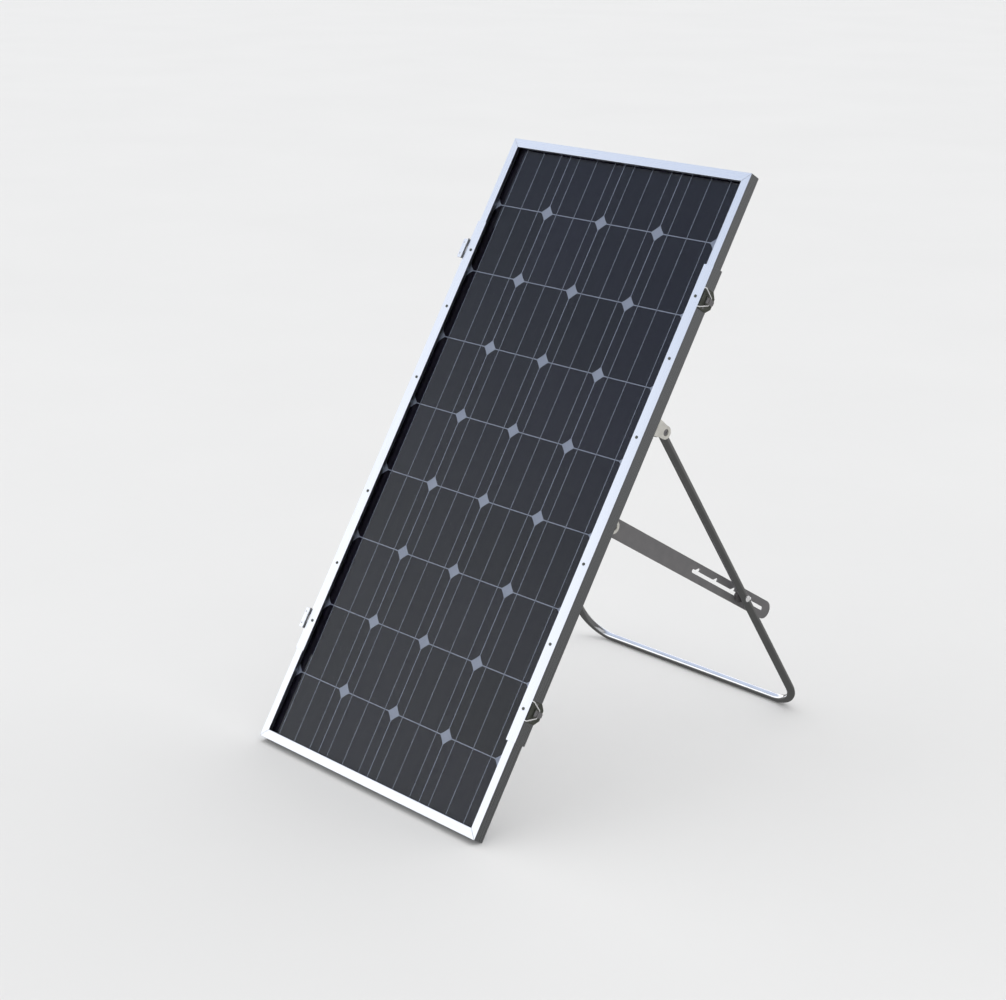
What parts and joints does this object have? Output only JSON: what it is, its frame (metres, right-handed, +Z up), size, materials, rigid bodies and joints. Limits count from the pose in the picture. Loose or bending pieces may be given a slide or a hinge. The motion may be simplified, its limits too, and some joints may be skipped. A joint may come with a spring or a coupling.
{
  "type": "framed solar panel on a folding tube stand",
  "caption": "Framed solar panel leaning on a folding U-shaped tube leg with slotted stay arms, side channels, draw latches and hinges for a matching panel.",
  "frame": {"origin": "centre of the footprint on the floor, halfway across and halfway front to back", "axes": "+X across the panel to its right as seen from the front, +Y backwards, the way the panel leans, +Z up"},
  "size_m": [0.7106, 1.0076, 1.2231],
  "materials": {
    "anodised_aluminium": "satin anodised",
    "zinc_steel": "dull zinc plated",
    "chrome_tube": "polished chrome",
    "dark_steel": "dark passivated",
    "grey_nylon": "moulded, fine texture",
    "front_glass": "tempered, lightly textured",
    "silicon_cells": "laminated monocrystalline silicon",
    "backsheet_film": "white film",
    "seal_rubber": "matte",
    "black_plastic": "moulded, fine texture"
  },
  "bodies": {
    "panel": {"rail_right": "anodised_aluminium", "rail_top": "anodised_aluminium", "rail_left": "anodised_aluminium", "rail_bottom": "anodised_aluminium", "corner_key_top_right": "zinc_steel", "corner_key_top_left": "zinc_steel", "corner_key_bottom_left": "zinc_steel", "corner_key_bottom_right": "zinc_steel", "front_seal": "seal_rubber", "front_glass": "front_glass", "cell_laminate": "silicon_cells", "backsheet": "backsheet_film", "side_channel_left": "anodised_aluminium", "side_channel_right": "anodised_aluminium", "channel_screw_left_1": "dark_steel", "channel_screw_left_2": "dark_steel", "channel_screw_left_3": "dark_steel", "channel_screw_left_4": "dark_steel", "channel_screw_left_5": "dark_steel", "channel_screw_left_6": "dark_steel", "channel_screw_right_1": "dark_steel", "channel_screw_right_2": "dark_steel", "channel_screw_right_3": "dark_steel", "channel_screw_right_4": "dark_steel", "channel_screw_right_5": "dark_steel", "channel_screw_right_6": "dark_steel", "leg_bracket_left": "grey_nylon", "leg_bracket_right": "grey_nylon", "leg_bolt_left": "dark_steel", "leg_bolt_right": "dark_steel", "stay_bracket_left": "grey_nylon", "stay_bracket_right": "grey_nylon", "stay_bolt_left": "dark_steel", "stay_bolt_right": "dark_steel", "junction_box_base": "black_plastic", "junction_box_lid": "black_plastic", "cable_gland_left": "black_plastic", "cable_gland_right": "black_plastic", "bypass_diode_left": "black_plastic", "bypass_diode_right": "black_plastic", "latch_plate_lower": "dark_steel", "latch_plate_upper": "dark_steel", "hinge_fixed_leaf_lower": "anodised_aluminium", "hinge_fixed_leaf_upper": "anodised_aluminium", "hinge_pin_lower": "zinc_steel", "hinge_pin_upper": "zinc_steel"},
    "leg_stand": {"leg_tube": "chrome_tube", "leg_rivet_left": "chrome_tube", "leg_rivet_right": "chrome_tube"},
    "stay_arm_left": {"stay_left": "zinc_steel"},
    "stud_left": {"slot_slider_left": "black_plastic"},
    "stay_arm_right": {"stay_right": "zinc_steel"},
    "stud_right": {"slot_slider_right": "black_plastic"},
    "lever_lower": {"latch_lever_lower": "zinc_steel"},
    "bail_lower": {"latch_bail_lower": "chrome_tube"},
    "leaf_lower": {"hinge_moving_leaf_lower": "anodised_aluminium"},
    "lever_upper": {"latch_lever_upper": "zinc_steel"},
    "bail_upper": {"latch_bail_upper": "chrome_tube"},
    "leaf_upper": {"hinge_moving_leaf_upper": "anodised_aluminium"}
  },
  "joints": [
    {"name": "leg_fold", "type": "hinge", "parent": "panel", "child": "leg_stand", "pos_m": [0.0033, 0.00979, 0.73113], "axis": [-1, 0, 0], "range_deg": [0, 65.25]},
    {"name": "stay_fold_left", "type": "hinge", "parent": "panel", "child": "stay_arm_left", "pos_m": [-0.3002, -0.10452, 0.55311], "axis": [-1, 0, 0], "range_deg": [0, 89.2]},
    {"name": "stud_slide_left", "type": "slide", "parent": "stay_arm_left", "child": "stud_left", "axis": [0, 0.8549, -0.5188], "range_m": [-0.1704, 0]},
    {"name": "stay_fold_right", "type": "hinge", "parent": "panel", "child": "stay_arm_right", "pos_m": [0.3068, -0.10452, 0.55311], "axis": [-1, 0, 0], "range_deg": [0, 89.2]},
    {"name": "stud_slide_right", "type": "slide", "parent": "stay_arm_right", "child": "stud_right", "axis": [0, 0.8549, -0.5188], "range_m": [-0.1704, 0]},
    {"name": "latch_open_lower", "type": "hinge", "parent": "panel", "child": "lever_lower", "pos_m": [0.3513, -0.35166, 0.23587], "axis": [0, -0.5203, -0.854], "range_deg": [0, 160]},
    {"name": "bail_swing_lower", "type": "hinge", "parent": "lever_lower", "child": "bail_lower", "pos_m": [0.3528, -0.34568, 0.23223], "axis": [0, -0.5203, -0.854], "range_deg": [-184.5, 0]},
    {"name": "hinge_close_lower", "type": "hinge", "parent": "panel", "child": "leaf_lower", "pos_m": [-0.3423, -0.36635, 0.24482], "axis": [0, 0.5203, 0.854], "range_deg": [0, 179]},
    {"name": "latch_open_upper", "type": "hinge", "parent": "panel", "child": "lever_upper", "pos_m": [0.3513, 0.10515, 0.98568], "axis": [0, -0.5203, -0.854], "range_deg": [0, 160]},
    {"name": "bail_swing_upper", "type": "hinge", "parent": "lever_upper", "child": "bail_upper", "pos_m": [0.3528, 0.11113, 0.98203], "axis": [0, -0.5203, -0.854], "range_deg": [-184.5, 0]},
    {"name": "hinge_close_upper", "type": "hinge", "parent": "panel", "child": "leaf_upper", "pos_m": [-0.3423, 0.09047, 0.99462], "axis": [0, 0.5203, 0.854], "range_deg": [0, 179]}
  ],
  "couplings": [
    {"joint": "stay_fold_left", "follows": "leg_fold", "ratio": 1.3658},
    {"joint": "stud_slide_left", "follows": "leg_fold", "m_per_rad": -0.14948},
    {"joint": "stay_fold_right", "follows": "leg_fold", "ratio": 1.3658},
    {"joint": "stud_slide_right", "follows": "leg_fold", "m_per_rad": -0.14948},
    {"joint": "bail_swing_lower", "follows": "latch_open_lower", "ratio": -1.15},
    {"joint": "bail_swing_upper", "follows": "latch_open_upper", "ratio": -1.15}
  ]
}
